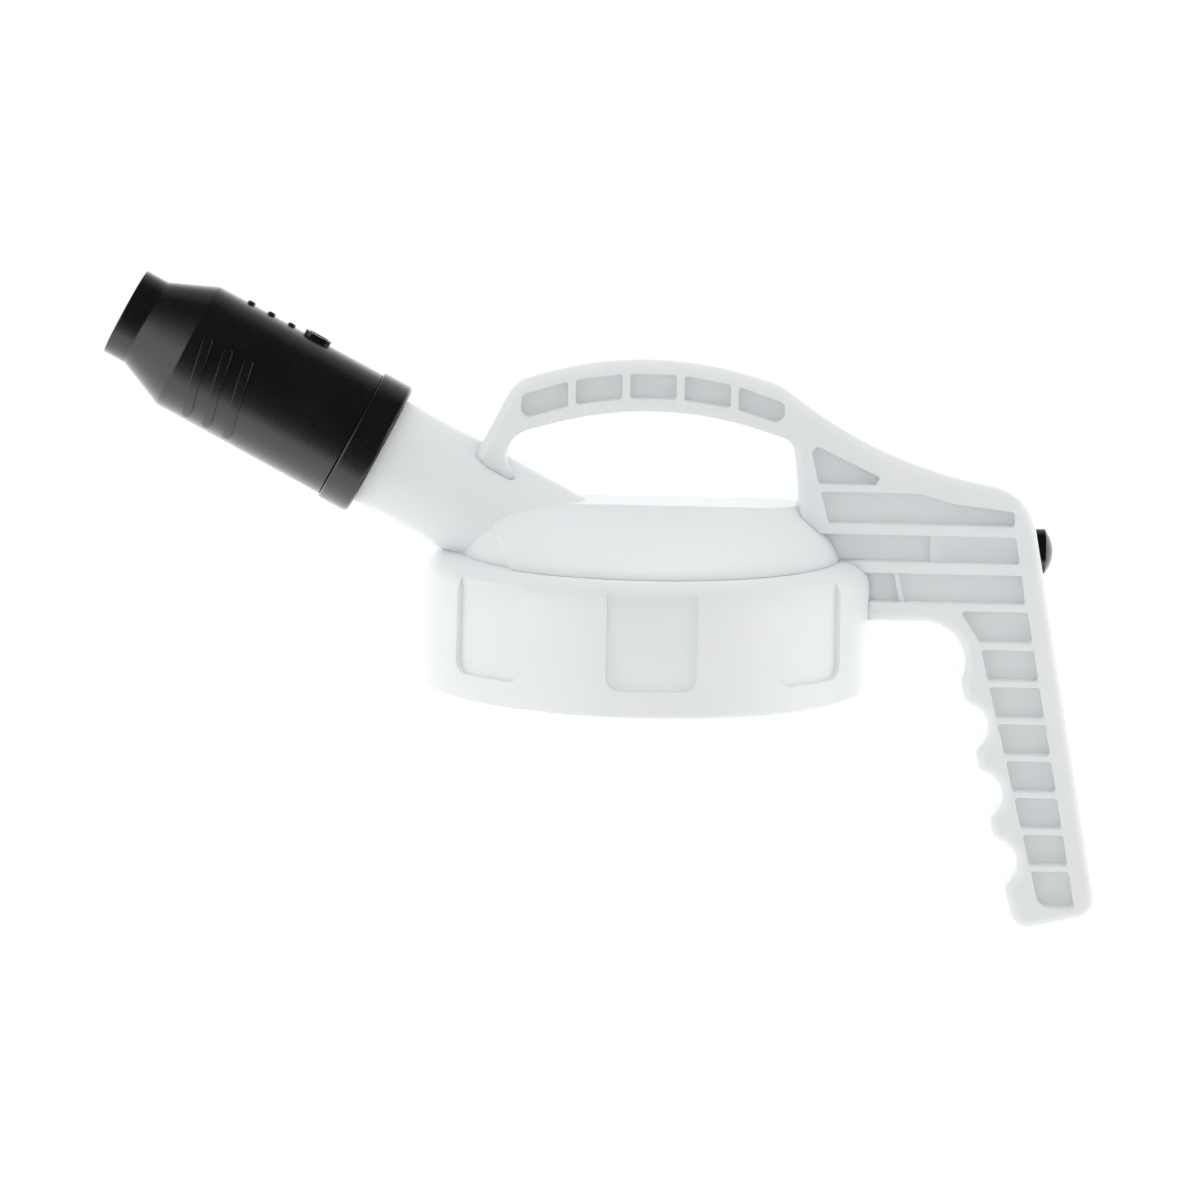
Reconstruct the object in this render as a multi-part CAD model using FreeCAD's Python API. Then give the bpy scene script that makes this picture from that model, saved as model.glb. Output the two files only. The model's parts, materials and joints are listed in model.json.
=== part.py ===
import FreeCAD, Part
import math
import os

# Screw-on pouring lid for a wide-neck transfer container.
# Millimetres, +Z up. The origin is the centre of the cap's bottom rim. The spout points to -X, the grip
# hangs at +X, and the lid is symmetric about the XZ plane.

V = FreeCAD.Vector
X_AXIS, Y_AXIS, Z_AXIS = V(1, 0, 0), V(0, 1, 0), V(0, 0, 1)
ORIGIN = V(0, 0, 0)
FAR = 200.0            # longer than anything it has to cut through
FIT = 0.05             # radial clearance of a running fit
GAP = 0.3              # clearance between parts that move past each other

# Cap ring
CAP_R = 61.0
CAP_TAPER = 0.5        # how much the wall draws in by the start of the shoulder
SHOULDER_R = 7.0
CAP_TOP = 34.7
CAP_WALL = 3.0
CEILING = CAP_TOP - CAP_WALL
TOP_HOLE_R = 47.5      # the hood stands round this hole in the cap's top
LAND_R = 58.2          # smooth lead-in below the thread
LAND_H = 7.0
THREAD_ROOT_R = 57.4
THREAD_DEPTH = 1.5
THREAD_PITCH = 8.0
THREAD_TURNS = 1.75
THREAD_START = 9.5
PANEL_ANGLES = (-43.5, 1.5, 46.5, 136.5, 181.5, 226.5)  # none under the spout or the web
PANEL_WIDTH = 23.4
PANEL_BOTTOM = 7.0
PANEL_DEPTH = 1.5
PANEL_CORNER_R = 3.6
GASKET_H = 2.5
GASKET_WIDTH = 7.6

# Hood: a ridge that falls to a round crease
HOOD_R = 52.0
RIDGE_Z = 48.8
RIDGE_HALF_LENGTH = 41.6
RIDGE_HALF_WIDTH = 10.0
HOOD_SECTIONS = 7
HOOD_END_POWER = 1.5   # shape of the hood's rounded ends
HOOD_DROP = 3.2        # how far the inside lies below the outside
RECESS_IN = 2.5        # depth of the recesses beside the spout, at their foot
RECESS_X = -45.3
RECESS_SLANT = 0.264

# Spout tube, and distances along its axis from the nozzle's tip towards the lid
SPOUT_ANGLE = 27.7
TIP = V(-140.64, 0, 96.94)
TUBE_R = 15.1
TUBE_ROOT_R = 15.4
TUBE_NECK_R = 14.9     # the stretch inside the nozzle
TUBE_BORE_R = 11.6
TUBE_FRONT = 40.0
TUBE_ROOT = 150.0
SLOT_END = 53.8
FLANGE = (62.0, 64.4)
FLANGE_R = 16.2
TUBE_GROOVES = (55.0, 58.5)
RING_SECTION = 1.8     # thickness of the O-rings on the tube
GROOVE_WIDTH = 2.1

# Twist nozzle
NOZZLE_TIP_R = 12.25
NOZZLE_TIP_L = 6.4
NOZZLE_CONE_END = 19.1
NOZZLE_R = 17.85
NOZZLE_END_R = 18.1
NOZZLE_END = 68.7
OUTLET_R = 10.35
OUTLET_L = 5.5
CHAMBER_START = 15.5
NOZZLE_BORE_R = TUBE_NECK_R + FIT
RECESS_START = FLANGE[0] - 0.4
RECESS_R = FLANGE_R + 0.2
COLLAR_R = 18.85
COLLAR_END = 77.5
COLLAR_BORE_R = TUBE_R + 0.15
GRIP_RIBS = 3
GRIP_RIB_PITCH = 6.1
GRIP_RIB_WIDTH = 2.4
GRIP_RIB_HEIGHT = 0.9
GRIP_RIB_SLANT = 10.9
GRIP_RIB_START = 24.6
GRIP_RIB_SPAN = (-6.9, 16.3)
PIPS = 3
PIP_START = 28.6
PIP_PITCH = 6.1
PIP_R = 1.1
PIP_H = 0.75
LUG_CENTRE = 48.5
LUG_LENGTH = 7.6
LUG_WIDTH = 4.4
LUG_H = 1.3

# Shut-off valve that the nozzle drives
VALVE_TRAVEL = 8.0
TWIST_RANGE = 90.0
PLUG_R = 10.1
PLUG_FRONT = 1.2
PLUG_BACK = 5.2
PLUG_RING_SECTION = 1.7
STEM_R = 2.8
STEM_END = 49.0
ARMS = 3
ARM_FRONT = 42.5
ARM_THICK = 3.0
ARM_WIDTH = 3.4
HUB_R = 5.4
CAM_PIN_R = 1.5
CAM_DEPTH = 1.3
CAM_RUN_OUT = 8.0      # degrees of groove past each end of the travel

# Handle outline
HANDLE_HALF = 10.5
OUTER_ROUND = 2.6
LOOP_ROUND = 2.2
POCKET_FLOOR = 6.0     # half thickness of the web between opposite pockets
GUIDE_HALF = 7.4       # the same where the web holds the button's guide bore
POCKET_RIM_R = 0.5
ARCH_TOP_Z = 87.75
ARCH_R = 98.0
LOOP_TOP_Z = 73.9
LOOP_R = 96.0
LOOP_X = 1.0
SPINE_TOP = (103.9, 45.8)
SPINE_SLOPE = 0.1905
SCALLOP_PITCH = 19.1
SCALLOPS = 3

# Breather
BREATHER_Z = 37.2
BUTTON_R = 6.2
BUTTON_APEX = 109.7
DOME_H = 2.4
BUTTON_BACK = 92.0
GUIDE_END = 80.0
ROD_R = 2.0
ROD_CHANNEL_R = 3.0
SEAT_X = 44.0
SEAT_BLOCK = 5.3
SEAT_BLOCK_WIDTH = 15.0
SEAT_FOOT = 2.6        # thickness of the seat block below the cap's top
SEAT_FOOT_Z = 31.0
DISC_R = 5.2
DISC_ROOM = 10.0       # length of the clear space in front of the seat
DISC_T = 2.0
SEAL_T = 1.0
ROD_END = 39.4
SPRING_WASHER_T = 0.8
SPRING_WIRE_R = 0.4
SPRING_COIL_R = 4.4
SPRING_TURNS = 6
SPRING_STEPS = 18      # sections in one turn
SPRING_SIDES = 8       # sides of the wire's section


def rounded_wire(corners):
    """Closed wire in the XZ plane through (x, z, radius) corners, each rounded by a tangent arc."""
    edges = []
    ends = []
    count = len(corners)
    for i in range(count):
        x, z, radius = corners[i]
        here = V(x, 0, z)
        before = V(corners[i - 1][0], 0, corners[i - 1][1])
        after = V(corners[(i + 1) % count][0], 0, corners[(i + 1) % count][1])
        arrive = (here - before).normalize()
        leave = (after - here).normalize()
        half_turn = arrive.getAngle(leave) / 2
        if radius <= 0 or half_turn < 1e-6:
            ends.append((here, here, None))
            continue
        inwards = (leave - arrive).normalize()
        tangent = radius * math.tan(half_turn)
        middle = here + inwards * (radius / math.cos(half_turn) - radius)
        ends.append((here - arrive * tangent, here + leave * tangent, middle))
    for i in range(count):
        start, end, middle = ends[i]
        if middle is not None:
            edges.append(Part.Arc(start, middle, end).toShape())
        following = ends[(i + 1) % count][0]
        if (following - end).Length > 1e-6:
            edges.append(Part.makeLine(end, following))
    return Part.Wire(edges)


def prism(corners, low, high):
    """Extrusion of a rounded outline in the XZ plane from y = low to y = high."""
    face = Part.Face(rounded_wire(corners))
    face.translate(V(0, low, 0))
    return face.extrude(V(0, high - low, 0))


def turned(corners):
    """Solid of revolution about Z from (radius, height, corner radius) corners."""
    return Part.Face(rounded_wire(corners)).revolve(ORIGIN, Z_AXIS, 360)


def tube_solid(outer, inner, low, high):
    return turned([(inner, low, 0), (outer, low, 0), (outer, high, 0), (inner, high, 0)])


def o_ring(middle_radius, section, height):
    return Part.makeTorus(middle_radius, section / 2, V(0, 0, height), Z_AXIS)


def box(low, high):
    return Part.makeBox(high[0] - low[0], high[1] - low[1], high[2] - low[2], V(*low))


def mirrored(shape):
    """The shape and its mirror image on the other side of the XZ plane."""
    return [shape, shape.mirror(ORIGIN, Y_AXIS)]


def along_spout(shape):
    """Place a shape made about Z, with z = 0 at the nozzle's tip, on the spout's axis."""
    inwards = V(math.cos(math.radians(SPOUT_ANGLE)), 0, -math.sin(math.radians(SPOUT_ANGLE)))
    placed = shape.copy()
    placed.Placement = FreeCAD.Placement(TIP, FreeCAD.Rotation(Z_AXIS, inwards)) * shape.Placement
    return placed


def along_breather(shape):
    """Place a shape made about Z, with z equal to the lid's X, on the breather's axis."""
    placed = shape.copy()
    turn = FreeCAD.Rotation(Z_AXIS, X_AXIS)
    placed.Placement = FreeCAD.Placement(V(0, 0, BREATHER_Z), turn) * shape.Placement
    return placed


def edges_where(shape, test):
    return [edge for edge in shape.Edges if test(edge)]


def spine_x(z):
    return SPINE_TOP[0] + (SPINE_TOP[1] - z) * SPINE_SLOPE


def arc_z(centre_x, top_z, radius, x):
    """Height of an arch of the given radius and crown at x."""
    return top_z - radius + math.sqrt(radius ** 2 - (x - centre_x) ** 2)


# Cap ring -------------------------------------------------------------------------------------------

def cap_outside():
    return turned([
        (0, 0, 0), (CAP_R, 0, 0.8), (CAP_R - CAP_TAPER, CAP_TOP, SHOULDER_R), (0, CAP_TOP, 0),
    ])


def grip_panel(angle):
    """Tool for one recessed panel: it runs out through the shoulder at its top."""
    half = PANEL_WIDTH / 2
    top = CAP_TOP + 1
    outline = prism([
        (-half, PANEL_BOTTOM, PANEL_CORNER_R), (half, PANEL_BOTTOM, PANEL_CORNER_R),
        (half, top, 0), (-half, top, 0),
    ], -CAP_R - 2, 0)
    floor = turned([
        (0, 0, 0), (CAP_R - PANEL_DEPTH, 0, 0), (CAP_R - PANEL_DEPTH - CAP_TAPER, CAP_TOP + 2, 0),
        (0, CAP_TOP + 2, 0),
    ])
    tool = outline.cut(floor)
    tool.rotate(ORIGIN, Z_AXIS, angle)
    return tool


def cap_cavity():
    return turned([
        (0, -1, 0), (LAND_R, -1, 0), (LAND_R, LAND_H, 0), (THREAD_ROOT_R, LAND_H + 0.8, 0),
        (THREAD_ROOT_R, CEILING, 1.0), (0, CEILING, 0),
    ])


def thread():
    """Coarse trapezoid thread that stands inwards from the cap's wall."""
    height = THREAD_PITCH * THREAD_TURNS
    helix = Part.makeHelix(THREAD_PITCH, height, THREAD_ROOT_R)
    root, crest, sunk = 1.6, 0.7, 0.4
    outside = THREAD_ROOT_R + sunk
    inside = THREAD_ROOT_R - THREAD_DEPTH
    profile = Part.makePolygon([
        V(outside, 0, -root - 0.2), V(inside, 0, -crest), V(inside, 0, crest), V(outside, 0, root + 0.2),
        V(outside, 0, -root - 0.2),
    ])
    ridge = Part.Wire(helix).makePipeShell([profile], True, True)
    ridge.translate(V(0, 0, THREAD_START))
    return ridge


def neck_gasket():
    outer = THREAD_ROOT_R - 0.1
    return turned([
        (outer - GASKET_WIDTH, CEILING - GASKET_H, 0.5), (outer, CEILING - GASKET_H, 0.5),
        (outer, CEILING, 1.0), (outer - GASKET_WIDTH, CEILING, 0.5),
    ])


# Hood -----------------------------------------------------------------------------------------------

def stadium(half_length, half_width, z):
    """Closed wire: two straight sides along X joined by half circles."""
    straight = max(half_length - half_width, 0.5)
    reach = straight + half_width
    left_front, right_front = V(-straight, -half_width, z), V(straight, -half_width, z)
    left_back, right_back = V(-straight, half_width, z), V(straight, half_width, z)
    return Part.Wire([
        Part.makeLine(left_front, right_front),
        Part.Arc(right_front, V(reach, 0, z), right_back).toShape(),
        Part.makeLine(right_back, left_back),
        Part.Arc(left_back, V(-reach, 0, z), left_front).toShape(),
    ])


def hood_shape(base_r, base_z, ridge_length, ridge_width, ridge_z):
    """Loft from a circle up to a narrow ridge."""
    wires = []
    for i in range(HOOD_SECTIONS):
        t = i / (HOOD_SECTIONS - 1)
        half_width = base_r + (ridge_width - base_r) * t
        half_length = base_r + (ridge_length - base_r) * t ** HOOD_END_POWER
        wires.append(stadium(half_length, half_width, base_z + (ridge_z - base_z) * t))
    return Part.makeLoft(wires, True, False)


def hood_outside():
    hood = hood_shape(HOOD_R, CAP_TOP, RIDGE_HALF_LENGTH, RIDGE_HALF_WIDTH, RIDGE_Z)
    inner = hood_shape(HOOD_R - RECESS_IN, CAP_TOP, RIDGE_HALF_LENGTH, RIDGE_HALF_WIDTH, RIDGE_Z)
    reach = HOOD_R + 5
    corner = Part.makePolygon([
        V(-reach, 0, CAP_TOP), V(RECESS_X, 0, CAP_TOP), V(RECESS_X + RECESS_SLANT * reach, -reach, CAP_TOP),
        V(-reach, -reach, CAP_TOP), V(-reach, 0, CAP_TOP),
    ])
    recess = Part.Face(corner).extrude(V(0, 0, RIDGE_Z)).cut(inner)
    for tool in mirrored(recess):
        hood = hood.cut(tool)
    return hood


def hood_cavity():
    return hood_shape(
        TOP_HOLE_R, CAP_TOP - HOOD_DROP, RIDGE_HALF_LENGTH - 2.5, RIDGE_HALF_WIDTH,
        RIDGE_Z - HOOD_DROP)


def seat_block():
    """Block inside the hood that carries the breather's valve seat; its foot hangs through the cap's hole."""
    half = SEAT_BLOCK_WIDTH / 2
    upper = box((SEAT_X, -half, CAP_TOP), (SEAT_X + SEAT_BLOCK, half, RIDGE_Z))
    foot = box((SEAT_X, -half, SEAT_FOOT_Z), (SEAT_X + SEAT_FOOT, half, CAP_TOP))
    return upper.common(hood_outside()).fuse(foot)


# Spout tube -----------------------------------------------------------------------------------------

def tube_outside():
    profile = [
        (0, TUBE_FRONT, 0), (TUBE_NECK_R, TUBE_FRONT, 0.6), (TUBE_NECK_R, FLANGE[0], 0),
        (FLANGE_R, FLANGE[0], 0.3), (FLANGE_R, FLANGE[1], 0.3), (TUBE_R, FLANGE[1], 0),
        (TUBE_ROOT_R, TUBE_ROOT, 0), (0, TUBE_ROOT, 0),
    ]
    return along_spout(turned(profile))


def tube_openings():
    """Bore, O-ring grooves and the slots that keep the valve's arms from turning."""
    bore = Part.makeCylinder(TUBE_BORE_R, TUBE_ROOT - TUBE_FRONT, V(0, 0, TUBE_FRONT - 1))
    tools = [bore]
    for start in TUBE_GROOVES:
        groove = tube_solid(TUBE_NECK_R + 1, TUBE_NECK_R - RING_SECTION, start, start + GROOVE_WIDTH)
        tools.append(groove)
    half = ARM_WIDTH / 2 + GAP
    for i in range(ARMS):
        slot = box((0, -half, TUBE_FRONT - 1), (TUBE_NECK_R + 1, half, SLOT_END))
        slot.rotate(ORIGIN, Z_AXIS, 360.0 / ARMS * i)
        tools.append(slot)
    return [along_spout(tool) for tool in tools]


def tube_o_ring(start):
    middle = TUBE_NECK_R + FIT - 0.02 - RING_SECTION / 2
    return along_spout(o_ring(middle, RING_SECTION, start + GROOVE_WIDTH / 2))


# Handle ---------------------------------------------------------------------------------------------

def scallop_corners():
    """The finger grooves down the front of the grip, from the top."""
    down = V(math.sin(math.radians(13.5)), 0, -math.cos(math.radians(13.5)))
    out = V(-down.z, 0, down.x)
    first_tip = V(85.9, 0, -0.3)
    half_land, half_notch, notch_depth = 2.6, 6.95, 10.0
    land_r, notch_r = 3.0, 6.9
    corners = []
    for i in range(SCALLOPS):
        tip = first_tip + down * (SCALLOP_PITCH * i)
        for distance, depth, radius in (
                (-half_land, 0, land_r), (half_land, 0, land_r),
                (half_land + half_notch, notch_depth, notch_r)):
            point = tip + down * distance + out * depth
            corners.append((point.x, point.z, radius))
    last = first_tip + down * (SCALLOP_PITCH * SCALLOPS - half_land)
    corners.append((last.x, last.z, land_r))
    return corners


def arch_corners(centre_x, top_z, radius, left, right, overrun):
    """Three corners that make one arc, tangent to the straight runs past its two ends."""
    centre_z = top_z - radius
    points = []
    slopes = []
    for x in (left, right):
        slope = (centre_x - x) / math.sqrt(radius ** 2 - (x - centre_x) ** 2)
        slopes.append(slope)
        points.append((x, centre_z + math.sqrt(radius ** 2 - (x - centre_x) ** 2)))
    (x1, z1), (x2, z2) = points
    crown_x = (z2 - z1 + slopes[0] * x1 - slopes[1] * x2) / (slopes[0] - slopes[1])
    crown_z = z1 + slopes[0] * (crown_x - x1)
    before = (x1 - overrun[0], z1 - slopes[0] * overrun[0])
    after = (x2 + overrun[1], z2 + slopes[1] * overrun[1])
    return before, (crown_x, crown_z, radius), after


def handle_outline():
    """Arch, spine, grip and web in one closed outline, which goes round the hand loop."""
    left, crown, right = arch_corners(0, ARCH_TOP_Z, ARCH_R, -30.0, 27.0, (6.1, 8.2))
    corners = [(-40.0, 48.0, 0), (-46.2, 61.0, 0.5), left + (9.0,), crown, right + (14.0,)]
    corners += [(62.5, 61.2, 120.0)]
    corners += [(102.4, 53.7, 14.5), (spine_x(-60.4), -60.4, 5.5), (102.0, -65.5, 5.0)]
    corners += list(reversed(scallop_corners()))
    corners += [(90.3, 18.7, 11.4), (58.5, 18.7, 0), (43.6, 40.0, 0), (40.8, 48.0, 0)]
    left, crown, right = arch_corners(LOOP_X, LOOP_TOP_Z, LOOP_R, -25.0, 30.0, (10.0, 8.6))
    corners += [(39.8, 58.0, 6.0), right + (4.0,), crown, left + (8.0,)]
    corners += [(-38.8, 61.6, 6.0), (-31.0, 48.0, 0)]
    return corners


def is_loop_edge(edge):
    centre = edge.CenterOfMass
    return -39 < centre.x < 42 and 48.5 < centre.z < LOOP_TOP_Z + 0.5


def is_buried(edge):
    """Edges of the handle that end up inside the cap or the spout."""
    centre = edge.CenterOfMass
    in_cap = 40.6 < centre.x < 59 and 18.8 < centre.z < 48.5
    in_tube = centre.x < -35 and centre.z < 55.5
    at_web_end = centre.x < 60 and centre.z < 18.8
    return in_cap or in_tube or at_web_end


def handle_blank():
    """The handle before its pockets are cut, with its front and back edges rounded."""
    blank = prism(handle_outline(), -HANDLE_HALF, HANDLE_HALF)

    def on_face(edge):
        return abs(abs(edge.CenterOfMass.y) - HANDLE_HALF) < 1e-6

    outer = edges_where(blank, lambda e: on_face(e) and not is_loop_edge(e) and not is_buried(e))
    blank = blank.makeFillet(OUTER_ROUND, outer)
    loop = edges_where(blank, lambda e: on_face(e) and is_loop_edge(e) and not is_buried(e))
    return blank.makeFillet(LOOP_ROUND, loop)


def pocket_tool(corners):
    return prism(corners, -HANDLE_HALF - 1, -POCKET_FLOOR)


def arch_pockets():
    """The five pockets that follow the arch, the first and the last with round outer ends."""
    first_x, pitch, width = -34.1, 14.45, 12.4
    rim, count, corner_r, end_r = 3.6, 5, 0.8, 2.3
    tools = []
    for i in range(count):
        left = first_x + pitch * i
        right = left + width
        corners = []
        for x in (left, right):
            radius = end_r if x in (first_x, first_x + pitch * (count - 1) + width) else corner_r
            corners.append((x, arc_z(0, ARCH_TOP_Z - rim, ARCH_R - rim, x), radius))
        for x in (right, left):
            radius = end_r if x in (first_x, first_x + pitch * (count - 1) + width) else corner_r
            corners.append((x, arc_z(LOOP_X, LOOP_TOP_Z + rim, LOOP_R + rim, x), radius))
        tools.append(pocket_tool(corners))
    return tools


def web_pockets():
    """Pockets between the hood and the spine. The breather runs through the third row."""
    small, round_r = 0.8, 1.6
    gusset = [(43.0, 66.6, round_r), (62.0, 57.6, small), (61.2, 55.5, small), (45.6, 55.5, small)]
    upper = [
        (46.2, 53.5, small), (72.5, 53.5, 12.0), (82.0, 50.9, 12.0), (98.2, 49.0, small),
        (98.4, 45.0, small), (48.6, 45.0, small),
    ]
    breather_row = [(44.0, 42.2, small), (98.9, 42.2, small), (100.1, 34.8, small), (48.0, 34.8, small)]
    lower = [(57.0, 31.9, small), (100.7, 31.9, small), (101.9, 24.0, small), (57.0, 24.0, small)]
    return [pocket_tool(corners) for corners in (gusset, upper, breather_row, lower)]


def grip_pockets():
    """The ladder of pockets down the grip. The first is cut off at a slant, the last is rounded."""
    top_z, pitch, height, wall, small = 11.6, 10.05, 8.4, 5.8, 0.8
    left_x, slope = 90.4, 0.255
    first_top, first_left, first_low_left = 22.0, 84.4, 90.0
    tools = [pocket_tool([
        (first_left, first_top, small), (spine_x(first_top) - wall, first_top, small),
        (spine_x(13.6) - wall, 13.6, small), (first_low_left, 13.6, small),
    ])]
    for i in range(7):
        top = top_z - pitch * i
        low = top - height - (1.6 if i == 6 else 0)
        tools.append(pocket_tool([
            (left_x + slope * (top_z - top), top, small), (spine_x(top) - wall, top, small),
            (spine_x(low) - wall, low, small),
            (left_x + slope * (top_z - low), low, 4.0 if i == 6 else small),
        ]))
    return tools


def guide_boss():
    """Thicker stretch of the web round the button's guide bore."""
    return box((76.0, -GUIDE_HALF, 34.0), (101.0, GUIDE_HALF, 43.0))


def web_rib():
    """The short slanted rib that crosses the lowest web pocket."""
    return prism([(66.4, 32.0, 0), (67.8, 32.0, 0), (69.6, 24.0, 0), (68.2, 24.0, 0)], -8.5, 8.5)


def pocket_rims(shape):
    """Edges round the mouths of the pockets: those of the pocket walls that lie in the handle's faces."""
    rims = []
    for face in shape.Faces:
        near = min(abs(face.BoundBox.YMin), abs(face.BoundBox.YMax))
        far = max(abs(face.BoundBox.YMin), abs(face.BoundBox.YMax))
        if abs(far - HANDLE_HALF) < 1e-4 and abs(near - POCKET_FLOOR) < 1e-4:
            for edge in face.Edges:
                low, high = abs(edge.BoundBox.YMin), abs(edge.BoundBox.YMax)
                if abs(low - HANDLE_HALF) < 1e-4 and abs(high - HANDLE_HALF) < 1e-4:
                    rims.append(edge)
    return rims


def handle():
    shape = handle_blank()
    for tool in arch_pockets() + web_pockets() + grip_pockets():
        for side in mirrored(tool):
            shape = shape.cut(side)
    shape = shape.makeFillet(POCKET_RIM_R, pocket_rims(shape))
    return shape.fuse(web_rib()).fuse(guide_boss())


# Lid mouldings ----------------------------------------------------------------------------------------

def breather_passage():
    """Guide bore for the button, channel for the rod and room for the valve disc."""
    return [along_breather(tool) for tool in (
        Part.makeCylinder(BUTTON_R + FIT, FAR, V(0, 0, GUIDE_END)),
        Part.makeCylinder(ROD_CHANNEL_R, GUIDE_END - SEAT_X + 2, V(0, 0, SEAT_X - 1)),
        Part.makeCylinder(DISC_R + GAP, DISC_ROOM, V(0, 0, SEAT_X - DISC_ROOM)),
    )]


def cap_ring():
    """Threaded ring with grip panels, and a top that is open under the hood."""
    ring = cap_outside()
    for angle in PANEL_ANGLES:
        ring = ring.cut(grip_panel(angle))
    hole = Part.makeCylinder(TOP_HOLE_R, FAR)
    for tool in [cap_cavity(), hole] + tube_openings() + breather_passage():
        ring = ring.cut(tool)
    return ring.fuse(thread()).removeSplitter()


def spout_hood():
    """Hollow hood and the spout's tube, welded to the top of the cap ring."""
    hood = hood_outside().fuse(tube_outside()).cut(cap_outside()).cut(hood_cavity())
    hood = hood.fuse(seat_block())
    for tool in tube_openings() + breather_passage():
        hood = hood.cut(tool)
    return hood.removeSplitter()


def carry_handle():
    """Arch, web and rear grip, shaped to sit on the cap ring, the hood and the tube."""
    shape = handle()
    for tool in [cap_outside(), hood_outside(), tube_outside()] + breather_passage():
        shape = shape.cut(tool)
    return shape.removeSplitter()


# Spout pieces ---------------------------------------------------------------------------------------

def cam_groove():
    """One helical groove in the nozzle's bore, followed by a pin of the valve."""
    pitch = VALVE_TRAVEL * 360.0 / TWIST_RANGE
    sweep = TWIST_RANGE + 2 * CAM_RUN_OUT
    helix = Part.makeHelix(pitch, pitch * sweep / 360.0, NOZZLE_BORE_R)
    half = (CAM_PIN_R + GAP) / math.cos(math.atan(pitch / (2 * math.pi * NOZZLE_BORE_R)))
    inside, outside = NOZZLE_BORE_R - 1.0, NOZZLE_BORE_R + CAM_DEPTH
    profile = Part.makePolygon([
        V(inside, 0, -half), V(outside, 0, -half), V(outside, 0, half), V(inside, 0, half),
        V(inside, 0, -half),
    ])
    groove = Part.Wire(helix).makePipeShell([profile], True, True)
    groove.rotate(ORIGIN, Z_AXIS, -CAM_RUN_OUT)
    pin_centre = ARM_FRONT + ARM_THICK / 2
    groove.translate(V(0, 0, pin_centre - pitch * CAM_RUN_OUT / 360.0))
    return groove


def grip_rib(index):
    """One slanted grip rib on each flank of the nozzle."""
    start = GRIP_RIB_START + GRIP_RIB_PITCH * index
    low, high = GRIP_RIB_SPAN
    half = GRIP_RIB_WIDTH / 2
    end_r = half * 0.98
    outline = [(low, -half, end_r), (low, half, end_r), (high, half, end_r), (high, -half, end_r)]
    bar = prism(outline, -NOZZLE_R - 5, NOZZLE_R + 5)
    bar.rotate(ORIGIN, Y_AXIS, -GRIP_RIB_SLANT)
    bar.translate(V(0, 0, start))
    skin = tube_solid(NOZZLE_R + GRIP_RIB_HEIGHT, NOZZLE_R - 1.0, start - 8, start + 8)
    return bar.common(skin)


def position_marks():
    """Three dots and a raised oval frame along the top of the nozzle."""
    marks = []
    for i in range(PIPS):
        pip = turned([(0, -2, 0), (PIP_R, -2, 0), (PIP_R, PIP_H, 0.5), (0, PIP_H, 0)])
        pip.rotate(ORIGIN, Y_AXIS, -90)
        pip.translate(V(-NOZZLE_R - 0.1, 0, PIP_START + PIP_PITCH * i))
        marks.append(pip)
    half_length, half_width, wall = LUG_LENGTH / 2, LUG_WIDTH / 2, 0.9
    frame = oval_block(half_length, half_width, 3 + LUG_H)
    frame = frame.cut(oval_block(half_length - wall, half_width - wall, 5 + LUG_H))
    frame.translate(V(-NOZZLE_R - LUG_H - 0.1, 0, LUG_CENTRE))
    return marks, frame


def oval_block(half_length, half_width, height):
    """Oval along Z, extruded along +X from x = 0."""
    reach = half_length - half_width
    wire = Part.Wire([
        Part.makeLine(V(0, -half_width, -reach), V(0, -half_width, reach)),
        Part.Arc(V(0, -half_width, reach), V(0, 0, half_length), V(0, half_width, reach)).toShape(),
        Part.makeLine(V(0, half_width, reach), V(0, half_width, -reach)),
        Part.Arc(V(0, half_width, -reach), V(0, 0, -half_length), V(0, -half_width, -reach)).toShape(),
    ])
    return Part.Face(wire).extrude(V(height, 0, 0))


def nozzle():
    shell = turned([
        (OUTLET_R, 0, 0.3), (NOZZLE_TIP_R, 0, 0.3), (NOZZLE_TIP_R, NOZZLE_TIP_L, 0.8),
        (NOZZLE_R, NOZZLE_CONE_END, 1.0), (NOZZLE_END_R, NOZZLE_END, 0.4), (RECESS_R, NOZZLE_END, 0),
        (RECESS_R, RECESS_START, 0), (NOZZLE_BORE_R, RECESS_START, 0), (NOZZLE_BORE_R, CHAMBER_START, 2.0),
        (OUTLET_R, OUTLET_L, 0.6),
    ])
    for i in range(GRIP_RIBS):
        shell = shell.fuse(grip_rib(i))
    marks, frame = position_marks()
    hollow = Part.makeCylinder(NOZZLE_BORE_R + 1.2, FAR, V(0, 0, CHAMBER_START))
    for mark in marks + [frame]:
        shell = shell.fuse(mark.cut(hollow))
    for i in range(ARMS):
        groove = cam_groove()
        groove.rotate(ORIGIN, Z_AXIS, 360.0 / ARMS * i)
        shell = shell.cut(groove)
    return along_spout(shell.removeSplitter())


def nozzle_collar():
    spigot_r = RECESS_R - FIT
    spigot_front = FLANGE[1] + GAP
    return along_spout(turned([
        (COLLAR_BORE_R, spigot_front, 0), (spigot_r, spigot_front, 0.3), (spigot_r, NOZZLE_END, 0),
        (COLLAR_R, NOZZLE_END, 0.6), (COLLAR_R, COLLAR_END, 1.2), (COLLAR_BORE_R, COLLAR_END, 0.3),
    ]))


def valve_plug():
    groove_front = 2.2
    groove_r = PLUG_R - 1.55
    groove_back = groove_front + PLUG_RING_SECTION + 0.2
    return along_spout(turned([
        (0, PLUG_FRONT, 0), (PLUG_R, PLUG_FRONT, 0.5), (PLUG_R, groove_front, 0), (groove_r, groove_front, 0),
        (groove_r, groove_back, 0), (PLUG_R, groove_back, 0), (PLUG_R, PLUG_BACK, 0.4), (STEM_R, 12.0, 3.0),
        (STEM_R, STEM_END, 0.5), (0, STEM_END, 0),
    ]))


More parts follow.
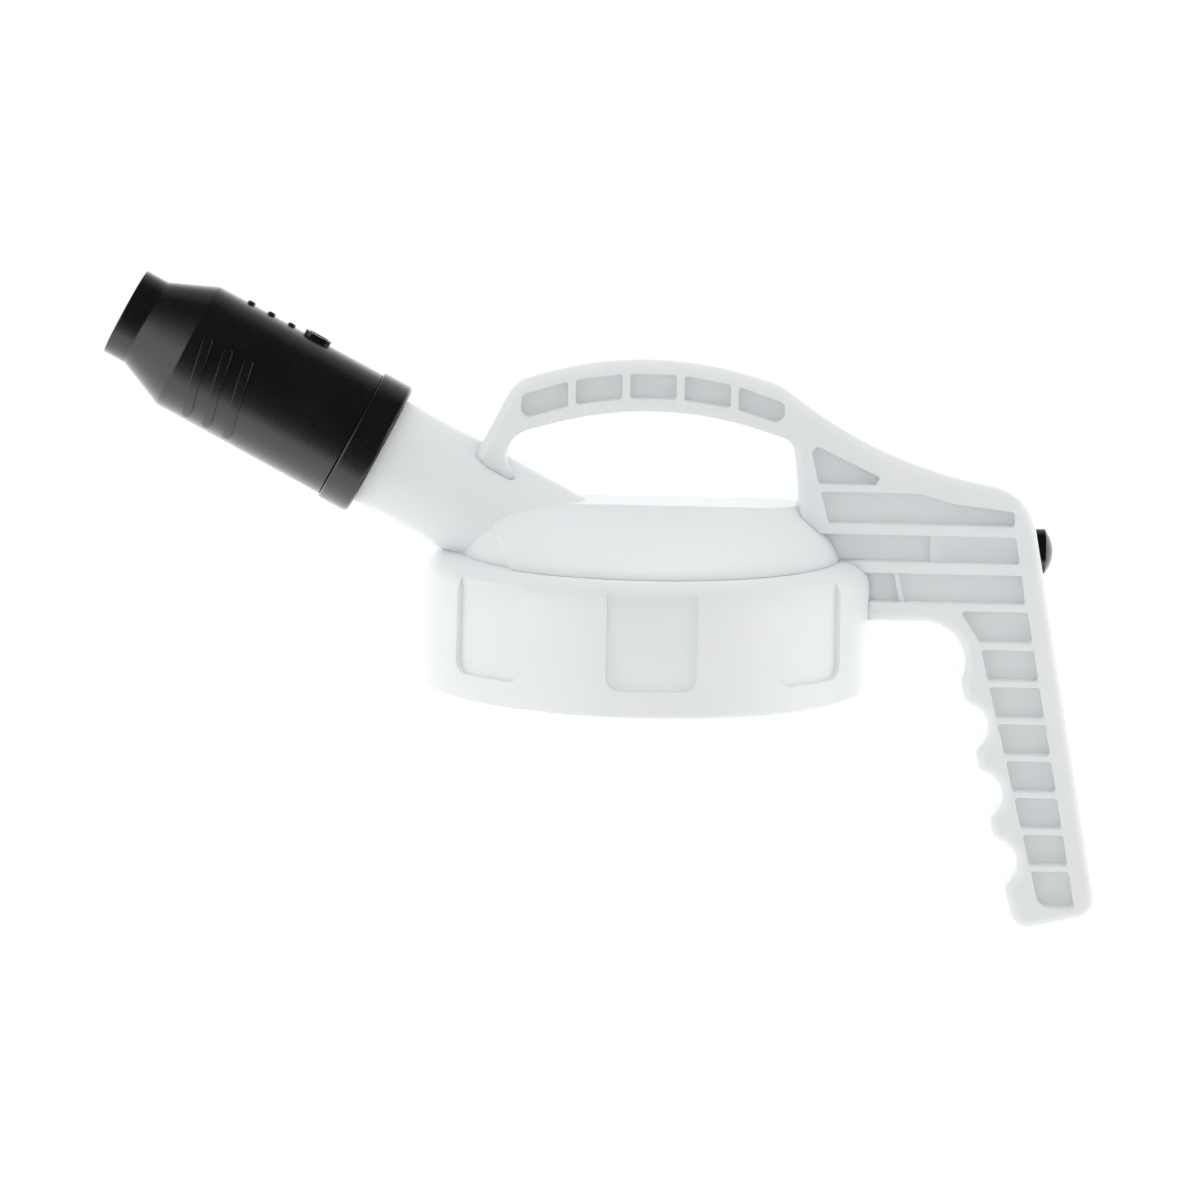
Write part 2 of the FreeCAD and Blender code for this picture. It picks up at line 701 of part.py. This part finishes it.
def plug_o_ring():
    middle = OUTLET_R - FIT - PLUG_RING_SECTION / 2
    return along_spout(o_ring(middle, PLUG_RING_SECTION, 2.2 + (PLUG_RING_SECTION + 0.2) / 2))


def cam_spider():
    """Hub with three arms that slide in the tube's slots and end in pins in the nozzle's cam grooves."""
    hub = tube_solid(HUB_R, STEM_R + 0.02, ARM_FRONT, ARM_FRONT + ARM_THICK + 0.6)
    arm_end = TUBE_NECK_R - 0.4
    pin_end = NOZZLE_BORE_R + CAM_DEPTH - GAP
    middle = ARM_FRONT + ARM_THICK / 2
    for i in range(ARMS):
        arm = box((HUB_R - 1, -ARM_WIDTH / 2, ARM_FRONT), (arm_end, ARM_WIDTH / 2, ARM_FRONT + ARM_THICK))
        pin = Part.makeCylinder(CAM_PIN_R - 0.02, pin_end - arm_end + 1, V(arm_end - 1, 0, middle), X_AXIS)
        arm = arm.fuse(pin)
        arm.rotate(ORIGIN, Z_AXIS, 360.0 / ARMS * i)
        hub = hub.fuse(arm)
    return along_spout(hub.removeSplitter())


def retaining_clip(inner, outer, thickness):
    """Open ring that snaps on a shaft, lying from z = 0 upwards."""
    ring = tube_solid(outer, inner, 0, thickness)
    return ring.cut(box((0, -inner * 0.6, -1), (outer + 1, inner * 0.6, thickness + 1)))


def spider_clip():
    clip = retaining_clip(STEM_R + 0.02, STEM_R + 1.6, 0.8)
    clip.translate(V(0, 0, ARM_FRONT + ARM_THICK + 0.6))
    return along_spout(clip)


# Breather pieces ------------------------------------------------------------------------------------

def breather_button():
    """Domed button with a hollow back that holds the rod."""
    dome_r = (BUTTON_R ** 2 + DOME_H ** 2) / (2 * DOME_H)
    shoulder = BUTTON_APEX - DOME_H
    barrel = Part.makeCylinder(BUTTON_R, BUTTON_APEX - BUTTON_BACK, V(0, 0, BUTTON_BACK))
    dome = Part.makeSphere(dome_r, V(0, 0, BUTTON_APEX - dome_r))
    barrel = barrel.common(dome.fuse(Part.makeCylinder(FAR, FAR, V(0, 0, shoulder - FAR))))
    socket = Part.makeCylinder(ROD_R + 0.02, 5.0, V(0, 0, BUTTON_BACK))
    return along_breather(barrel.cut(socket))


def breather_rod():
    return along_breather(Part.makeCylinder(ROD_R, BUTTON_BACK + 5.0 - ROD_END, V(0, 0, ROD_END)))


def guide_bush(start, length):
    """Fluted bush: the rod slides in it, and air passes along its flutes."""
    bush = tube_solid(ROD_CHANNEL_R, ROD_R + FIT, start, start + length)
    for i in range(4):
        flute = box((ROD_R + 0.4, -0.6, start - 1), (ROD_CHANNEL_R + 1, 0.6, start + length + 1))
        flute.rotate(ORIGIN, Z_AXIS, 90 * i)
        bush = bush.cut(flute)
    return along_breather(bush)


def breather_spring():
    """Return spring between the washer and the back of the button."""
    low = GUIDE_END + SPRING_WASHER_T + SPRING_WIRE_R + 0.02
    high = BUTTON_BACK - SPRING_WIRE_R - 0.02
    steps = SPRING_TURNS * SPRING_STEPS
    sections = []
    for i in range(steps + 1):
        angle = 2 * math.pi * i / SPRING_STEPS
        outwards = V(math.cos(angle), math.sin(angle), 0)
        centre = outwards * SPRING_COIL_R + V(0, 0, low + (high - low) * i / steps)
        ring = []
        for k in range(SPRING_SIDES + 1):
            turn = 2 * math.pi * k / SPRING_SIDES
            ring.append(centre + outwards * (SPRING_WIRE_R * math.cos(turn))
                        + Z_AXIS * (SPRING_WIRE_R * math.sin(turn)))
        sections.append(Part.makePolygon(ring))
    return along_breather(Part.makeLoft(sections, True, True))


def spring_washer():
    return along_breather(tube_solid(BUTTON_R - 0.1, ROD_R + 0.25, GUIDE_END, GUIDE_END + SPRING_WASHER_T))


def valve_disc():
    return along_breather(tube_solid(DISC_R, ROD_R + 0.02, SEAT_X - SEAL_T - DISC_T, SEAT_X - SEAL_T - 0.05))


def valve_disc_seal():
    return along_breather(tube_solid(DISC_R, ROD_R + 0.05, SEAT_X - SEAL_T - 0.05, SEAT_X - 0.05))


def valve_disc_clip():
    clip = retaining_clip(ROD_R + 0.02, ROD_R + 1.3, 0.8)
    clip.translate(V(0, 0, SEAT_X - SEAL_T - DISC_T - 0.8))
    return along_breather(clip)


def main():
    parts = {
        "cap_ring": cap_ring(),
        "spout_hood": spout_hood(),
        "carry_handle": carry_handle(),
        "neck_gasket": neck_gasket(),
        "tube_o_ring_front": tube_o_ring(TUBE_GROOVES[0]),
        "tube_o_ring_rear": tube_o_ring(TUBE_GROOVES[1]),
        "nozzle": nozzle(),
        "nozzle_collar": nozzle_collar(),
        "valve_plug": valve_plug(),
        "plug_o_ring": plug_o_ring(),
        "cam_spider": cam_spider(),
        "spider_clip": spider_clip(),
        "breather_button": breather_button(),
        "breather_rod": breather_rod(),
        "rod_bush_front": guide_bush(SEAT_X, 6.0),
        "rod_bush_rear": guide_bush(GUIDE_END - 7.0, 6.0),
        "breather_spring": breather_spring(),
        "spring_washer": spring_washer(),
        "valve_disc": valve_disc(),
        "valve_disc_seal": valve_disc_seal(),
        "valve_disc_clip": valve_disc_clip(),
    }
    os.makedirs("parts", exist_ok=True)
    for name, shape in parts.items():
        print(name, shape.isValid(), len(shape.Solids), round(shape.Volume, 1))
        shape.exportStep("parts/" + name + ".step")


main()
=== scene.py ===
import json
import math

import bmesh
import bpy
from mathutils import Matrix, Vector


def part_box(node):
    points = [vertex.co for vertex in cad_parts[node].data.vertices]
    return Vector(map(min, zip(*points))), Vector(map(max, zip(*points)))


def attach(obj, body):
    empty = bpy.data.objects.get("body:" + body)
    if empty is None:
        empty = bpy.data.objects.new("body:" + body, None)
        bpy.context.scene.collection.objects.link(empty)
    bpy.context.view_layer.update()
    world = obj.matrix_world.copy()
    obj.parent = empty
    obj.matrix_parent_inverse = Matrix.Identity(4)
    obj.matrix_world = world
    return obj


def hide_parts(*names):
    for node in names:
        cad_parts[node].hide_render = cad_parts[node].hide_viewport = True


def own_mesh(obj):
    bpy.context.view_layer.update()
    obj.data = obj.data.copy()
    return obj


MM = 0.001
IMAGE_SIDE = 1200
EDGE_RADIUS = 0.35 * MM
SIDE_LEVEL, FRONT_LEVEL = 1.18, 0.75    # brightness of the white tent, as it lights matt surfaces
TOP_SHARE = 0.90                        # of the side's brightness, straight overhead
GLOSS_LEVEL, OPENING_LEVEL = 2.2, 0.0   # as glossy surfaces reflect it, with its dark opening
GLOSS_TOP_SHARE = 0.20                  # the same share overhead, as glossy surfaces reflect it
BACK_LEVEL = 0.85                       # brightness behind the lid, as it lights matt surfaces
FLOOR_GLOW = 0.14                       # the floor's own light
OPENING_LEFT = (-0.50, -0.30)           # direction cosines between which each edge of it is soft
OPENING_RIGHT = (0.70, 0.92)
OPENING_BACK = (0.10, 0.55)
OPENING_BOTTOM = (-0.80, -0.58)
SEEN_LEVEL = 1.05                       # as the camera sees it
SPRING_WIRE_R, SPRING_COIL_R = 0.4 * MM, 4.4 * MM
SPRING_TURNS = 6
BLACK_LOW = (0.0072, 0.0072, 0.0075)    # both black plastics vary upwards from this colour

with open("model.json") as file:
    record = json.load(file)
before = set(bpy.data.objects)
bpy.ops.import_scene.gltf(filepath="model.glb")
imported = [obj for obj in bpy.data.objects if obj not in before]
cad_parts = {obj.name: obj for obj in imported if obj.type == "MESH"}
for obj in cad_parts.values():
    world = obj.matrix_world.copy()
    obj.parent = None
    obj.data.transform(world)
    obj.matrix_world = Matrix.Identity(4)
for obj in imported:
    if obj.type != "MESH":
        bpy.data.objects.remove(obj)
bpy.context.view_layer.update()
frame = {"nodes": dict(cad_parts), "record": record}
NODES = frame["nodes"]


# Camera --------------------------------------------------------------------------------------------

def make_camera():
    """The photograph's view: a little above the rim, with the lid rolled slightly clockwise."""
    elevation, roll = math.radians(8.8), math.radians(1.22)
    distance = 1.30
    target = Vector((-0.01206, 0, 0.02141))
    metres_per_pixel = 0.00027
    data = bpy.data.cameras.new("camera")
    data.sensor_width = 36.0
    data.lens = data.sensor_width * distance / (IMAGE_SIDE * metres_per_pixel)
    data.clip_start, data.clip_end = 0.05, 20.0
    camera = bpy.data.objects.new("camera", data)
    back = Vector((0, -math.cos(elevation), math.sin(elevation)))
    turn = (-back).to_track_quat("-Z", "Y").to_matrix().to_4x4()
    camera.matrix_world = (Matrix.Translation(target + back * distance) @ turn
                           @ Matrix.Rotation(roll, 4, "Z"))
    bpy.context.scene.collection.objects.link(camera)
    bpy.context.scene.camera = camera


# Materials -----------------------------------------------------------------------------------------

class Shader:
    """A Principled material with short calls for the nodes around it."""

    def __init__(self, name):
        self.material = bpy.data.materials.new(name)
        self.material.use_nodes = True
        self.tree = self.material.node_tree
        self.shader = self.tree.nodes["Principled BSDF"]
        self.place = self.node("ShaderNodeTexCoord").outputs["Object"]

    def node(self, kind, **settings):
        made = self.tree.nodes.new(kind)
        for key, value in settings.items():
            setattr(made, key, value)
        return made

    def link(self, output, target):
        self.tree.links.new(output, target)

    def scaled(self, x, y, z):
        mapping = self.node("ShaderNodeMapping")
        mapping.inputs["Scale"].default_value = (x, y, z)
        self.link(self.place, mapping.inputs["Vector"])
        return mapping.outputs["Vector"]

    def noise(self, scale, detail=3.0, rough=0.55, vector=None, distortion=0.0):
        made = self.node("ShaderNodeTexNoise")
        made.inputs["Scale"].default_value = scale
        made.inputs["Detail"].default_value = detail
        made.inputs["Roughness"].default_value = rough
        made.inputs["Distortion"].default_value = distortion
        self.link(vector or self.place, made.inputs["Vector"])
        return made.outputs["Fac"]

    def ramp(self, value, low, high, to_low=0.0, to_high=1.0):
        made = self.node("ShaderNodeMapRange")
        made.inputs["From Min"].default_value = low
        made.inputs["From Max"].default_value = high
        made.inputs["To Min"].default_value = to_low
        made.inputs["To Max"].default_value = to_high
        self.link(value, made.inputs["Value"])
        return made.outputs["Result"]

    def math(self, operation, a, b):
        made = self.node("ShaderNodeMath", operation=operation)
        for socket, value in zip(made.inputs, (a, b)):
            if isinstance(value, (int, float)):
                socket.default_value = value
            else:
                self.link(value, socket)
        return made.outputs["Value"]

    def mix(self, factor, a, b):
        made = self.node("ShaderNodeMix", data_type="RGBA")
        colours = [socket for socket in made.inputs if socket.type == "RGBA"]
        self.link(factor, made.inputs["Factor"])
        for socket, value in zip(colours, (a, b)):
            if isinstance(value, tuple):
                socket.default_value = value + (1.0,)
            else:
                self.link(value, socket)
        return [socket for socket in made.outputs if socket.type == "RGBA"][0]

    def bump(self, layers):
        """Bump from (height, strength, distance) layers, over edges that shade as if slightly rounded."""
        rounded = self.node("ShaderNodeBevel", samples=4)
        rounded.inputs["Radius"].default_value = EDGE_RADIUS
        normal = rounded.outputs["Normal"]
        for height, strength, distance in layers:
            made = self.node("ShaderNodeBump")
            made.inputs["Strength"].default_value = strength
            made.inputs["Distance"].default_value = distance
            self.link(height, made.inputs["Height"])
            self.link(normal, made.inputs["Normal"])
            normal = made.outputs["Normal"]
        self.link(normal, self.shader.inputs["Normal"])

    def set(self, **values):
        for key, value in values.items():
            self.shader.inputs[key.replace("_", " ")].default_value = value

    def colour(self, output):
        self.link(output, self.shader.inputs["Base Color"])

    def roughness(self, output):
        self.link(output, self.shader.inputs["Roughness"])


def white_polyethylene():
    m = Shader("white_polyethylene")
    cloud = m.noise(28.0, 2.0, 0.5)
    body = m.mix(m.ramp(cloud, 0.35, 0.68), (0.905, 0.925, 0.932), (0.93, 0.945, 0.95))
    split = m.node("ShaderNodeSeparateXYZ")
    m.link(m.place, split.inputs["Vector"])
    # The foot of the grip's back edge has yellowed slightly.
    aged = m.math("MULTIPLY",
                  m.ramp(split.outputs["X"], 0.110, 0.124), m.ramp(split.outputs["Z"], -0.030, -0.062))
    m.colour(m.mix(m.math("MULTIPLY", aged, 0.6), body, (0.88, 0.88, 0.78)))
    m.roughness(m.ramp(m.noise(420.0, 4.0, 0.6), 0.3, 0.7, 0.36, 0.47))
    m.bump([(m.noise(1400.0, 2.0, 0.5), 0.05, 0.0004), (m.noise(60.0, 2.0, 0.4), 0.08, 0.0008)])
    m.set(Specular_IOR_Level=0.45, Subsurface_Weight=0.4, Subsurface_Scale=0.004)
    m.shader.inputs["Subsurface Radius"].default_value = (1.0, 0.95, 0.9)
    return m.material


def black_satin():
    m = Shader("black_satin_plastic")
    m.colour(m.mix(m.ramp(m.noise(90.0, 4.0, 0.6), 0.4, 0.75), BLACK_LOW, (0.0105, 0.0105, 0.0109)))
    grain = m.noise(2200.0, 2.0, 0.6)
    scuffs = m.noise(160.0, 6.0, 0.65, m.scaled(1.0, 0.35, 1.6), 1.2)
    worn = m.ramp(scuffs, 0.60, 0.72)
    m.roughness(m.math("SUBTRACT", m.ramp(grain, 0.3, 0.7, 0.24, 0.31), m.math("MULTIPLY", worn, 0.06)))
    m.bump([(grain, 0.06, 0.0003), (scuffs, 0.03, 0.0004)])
    m.set(Specular_IOR_Level=0.5)
    return m.material


def black_gloss():
    m = Shader("black_gloss_plastic")
    m.colour(m.mix(m.ramp(m.noise(200.0, 3.0), 0.4, 0.8), BLACK_LOW, (0.010, 0.010, 0.0103)))
    m.roughness(m.ramp(m.noise(500.0, 4.0, 0.6, m.scaled(1.0, 1.0, 0.3)), 0.35, 0.75, 0.10, 0.22))
    m.bump([(m.noise(700.0, 2.0), 0.02, 0.0002)])
    m.set(Specular_IOR_Level=0.6)
    return m.material


def acetal():
    m = Shader("natural_acetal")
    m.colour(m.mix(m.ramp(m.noise(120.0, 3.0), 0.3, 0.7), (0.66, 0.65, 0.62), (0.73, 0.725, 0.70)))
    m.roughness(m.ramp(m.noise(600.0, 3.0), 0.3, 0.7, 0.32, 0.44))
    m.bump([(m.noise(900.0, 2.0), 0.05, 0.0003)])
    m.set(Subsurface_Weight=0.15, Subsurface_Scale=0.002)
    return m.material


def rubber(name, dark, light):
    m = Shader(name)
    m.colour(m.mix(m.ramp(m.noise(260.0, 5.0, 0.65), 0.35, 0.7), dark, light))
    m.roughness(m.ramp(m.noise(800.0, 3.0), 0.3, 0.7, 0.55, 0.72))
    m.bump([(m.noise(1500.0, 3.0), 0.10, 0.0003)])
    m.set(Specular_IOR_Level=0.35)
    return m.material


def drawn_steel():
    m = Shader("drawn_stainless")
    lines = m.noise(900.0, 3.0, 0.6, m.scaled(0.06, 1.0, 1.0))
    m.colour(m.mix(m.ramp(lines, 0.3, 0.7), (0.56, 0.56, 0.57), (0.70, 0.70, 0.71)))
    m.roughness(m.ramp(lines, 0.3, 0.7, 0.22, 0.34))
    m.bump([(lines, 0.05, 0.0002)])
    m.set(Metallic=1.0)
    return m.material


def paint_nodes():
    """Give each CAD node its material by the slot the record names."""
    made = {
        "white_lid": white_polyethylene(),
        "black_nozzle": black_satin(),
        "black_button": black_gloss(),
        "inner_plastic": acetal(),
        "seal_rubber": rubber("seal_nitrile", (0.018, 0.018, 0.018), (0.034, 0.034, 0.035)),
        "gasket_rubber": rubber("gasket_nitrile", (0.07, 0.07, 0.073), (0.11, 0.11, 0.115)),
        "steel": drawn_steel(),
    }
    for row in frame["record"]["subparts"]:
        data = NODES[row["node"]].data
        data.materials.clear()
        data.materials.append(made[row["material_slot"]])
    return made


# Pieces --------------------------------------------------------------------------------------------

def vent_spring(material):
    """Round-wire coil in place of the faceted CAD spring."""
    low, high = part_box("breather_spring")
    steps, sides = 40, 12
    axis_z = (low.z + high.z) / 2
    start, end = low.x + SPRING_WIRE_R, high.x - SPRING_WIRE_R
    mesh = bmesh.new()
    rings = []
    for i in range(SPRING_TURNS * steps + 1):
        angle = 2 * math.pi * i / steps
        outwards = Vector((0, math.cos(angle), math.sin(angle)))
        along = start + (end - start) * i / (SPRING_TURNS * steps)
        centre = Vector((along, 0, axis_z)) + outwards * SPRING_COIL_R
        ring = []
        for k in range(sides):
            turn = 2 * math.pi * k / sides
            offset = (outwards * (SPRING_WIRE_R * math.cos(turn))
                      + Vector((SPRING_WIRE_R * math.sin(turn), 0, 0)))
            ring.append(mesh.verts.new(centre + offset))
        rings.append(ring)
    for before, after in zip(rings, rings[1:]):
        for k in range(sides):
            following = (k + 1) % sides
            mesh.faces.new((before[k], before[following], after[following], after[k]))
    mesh.faces.new(list(reversed(rings[0])))
    mesh.faces.new(rings[-1])
    bmesh.ops.recalc_face_normals(mesh, faces=mesh.faces)
    for face in mesh.faces:
        face.smooth = len(face.verts) == 4
    data = bpy.data.meshes.new("vent_spring")
    mesh.to_mesh(data)
    mesh.free()
    data.materials.append(material)
    spring = bpy.data.objects.new("vent_spring", data)
    bpy.context.scene.collection.objects.link(spring)
    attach(spring, "lid")
    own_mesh(spring)
    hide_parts("breather_spring")


# Stage ---------------------------------------------------------------------------------------------

def make_floor():
    """Pale paper floor from just in front of the lid, well below it."""
    data = bpy.data.meshes.new("floor")
    side, front, depth = 6.0, -0.25, -0.30
    corners = [(-side, front, depth), (side, front, depth), (side, side, depth), (-side, side, depth)]
    data.from_pydata(corners, [], [(0, 1, 2, 3)])
    m = Shader("floor_paper")
    m.colour(m.mix(m.ramp(m.noise(3.0, 2.0), 0.3, 0.7), (0.93, 0.93, 0.93), (0.95, 0.95, 0.95)))
    m.set(Roughness=0.9, Specular_IOR_Level=0.1, Emission_Color=(1, 1, 1, 1))
    reflected = m.node("ShaderNodeLightPath").outputs["Is Glossy Ray"]
    m.link(m.ramp(reflected, 0.0, 1.0, FLOOR_GLOW, GLOSS_LEVEL - 1.0), m.shader.inputs["Emission Strength"])
    data.materials.append(m.material)
    floor = bpy.data.objects.new("floor", data)
    bpy.context.scene.collection.objects.link(floor)


def light_studio():
    """White tent, bright all round but for the opening that the camera looks through."""
    world = bpy.data.worlds.new("studio")
    world.use_nodes = True
    tree = world.node_tree
    back = tree.nodes["Background"]

    def node(kind, **settings):
        made = tree.nodes.new(kind)
        for key, value in settings.items():
            setattr(made, key, value)
        return made

    def maths(operation, *values):
        made = node("ShaderNodeMath", operation=operation)
        for socket, value in zip(made.inputs, values):
            if isinstance(value, (int, float)):
                socket.default_value = value
            else:
                tree.links.new(value, socket)
        return made.outputs["Value"]

    def ramp(value, low, high):
        made = node("ShaderNodeMapRange", interpolation_type="SMOOTHSTEP")
        made.inputs["From Min"].default_value = low
        made.inputs["From Max"].default_value = high
        tree.links.new(value, made.inputs["Value"])
        return made.outputs["Result"]

    def blend(share, low, high):
        return maths("ADD", maths("MULTIPLY", maths("SUBTRACT", 1.0, share), low),
                     maths("MULTIPLY", share, high))

    direction = node("ShaderNodeSeparateXYZ")
    tree.links.new(node("ShaderNodeTexCoord").outputs["Generated"], direction.inputs["Vector"])
    x, y, z = (direction.outputs[axis] for axis in "XYZ")
    across = maths("MULTIPLY", ramp(x, *OPENING_LEFT), ramp(x, *reversed(OPENING_RIGHT)))
    along = maths("MULTIPLY", ramp(y, *reversed(OPENING_BACK)), ramp(z, *OPENING_BOTTOM))
    opening = maths("MULTIPLY", across, along)
    overhead = ramp(z, 0.1, 0.8)
    gloss = blend(opening, blend(overhead, GLOSS_LEVEL, GLOSS_LEVEL * GLOSS_TOP_SHARE), OPENING_LEVEL)
    sides_to_front = blend(ramp(y, 0.1, -0.9), SIDE_LEVEL, FRONT_LEVEL)
    around = blend(ramp(y, 0.2, 0.9), sides_to_front, BACK_LEVEL)
    matt = maths("MULTIPLY", blend(overhead, 1.0, TOP_SHARE), around)
    path = node("ShaderNodeLightPath").outputs
    strength = blend(path["Is Camera Ray"], blend(path["Is Glossy Ray"], matt, gloss), SEEN_LEVEL)
    tree.links.new(strength, back.inputs["Strength"])
    world.cycles.sampling_method = "NONE"
    back.inputs["Color"].default_value = (0.985, 0.995, 1.0, 1)
    bpy.context.scene.world = world
    bpy.context.scene.view_settings.view_transform = "Standard"


make_camera()
MATERIALS = paint_nodes()
vent_spring(MATERIALS["steel"])
make_floor()
light_studio()
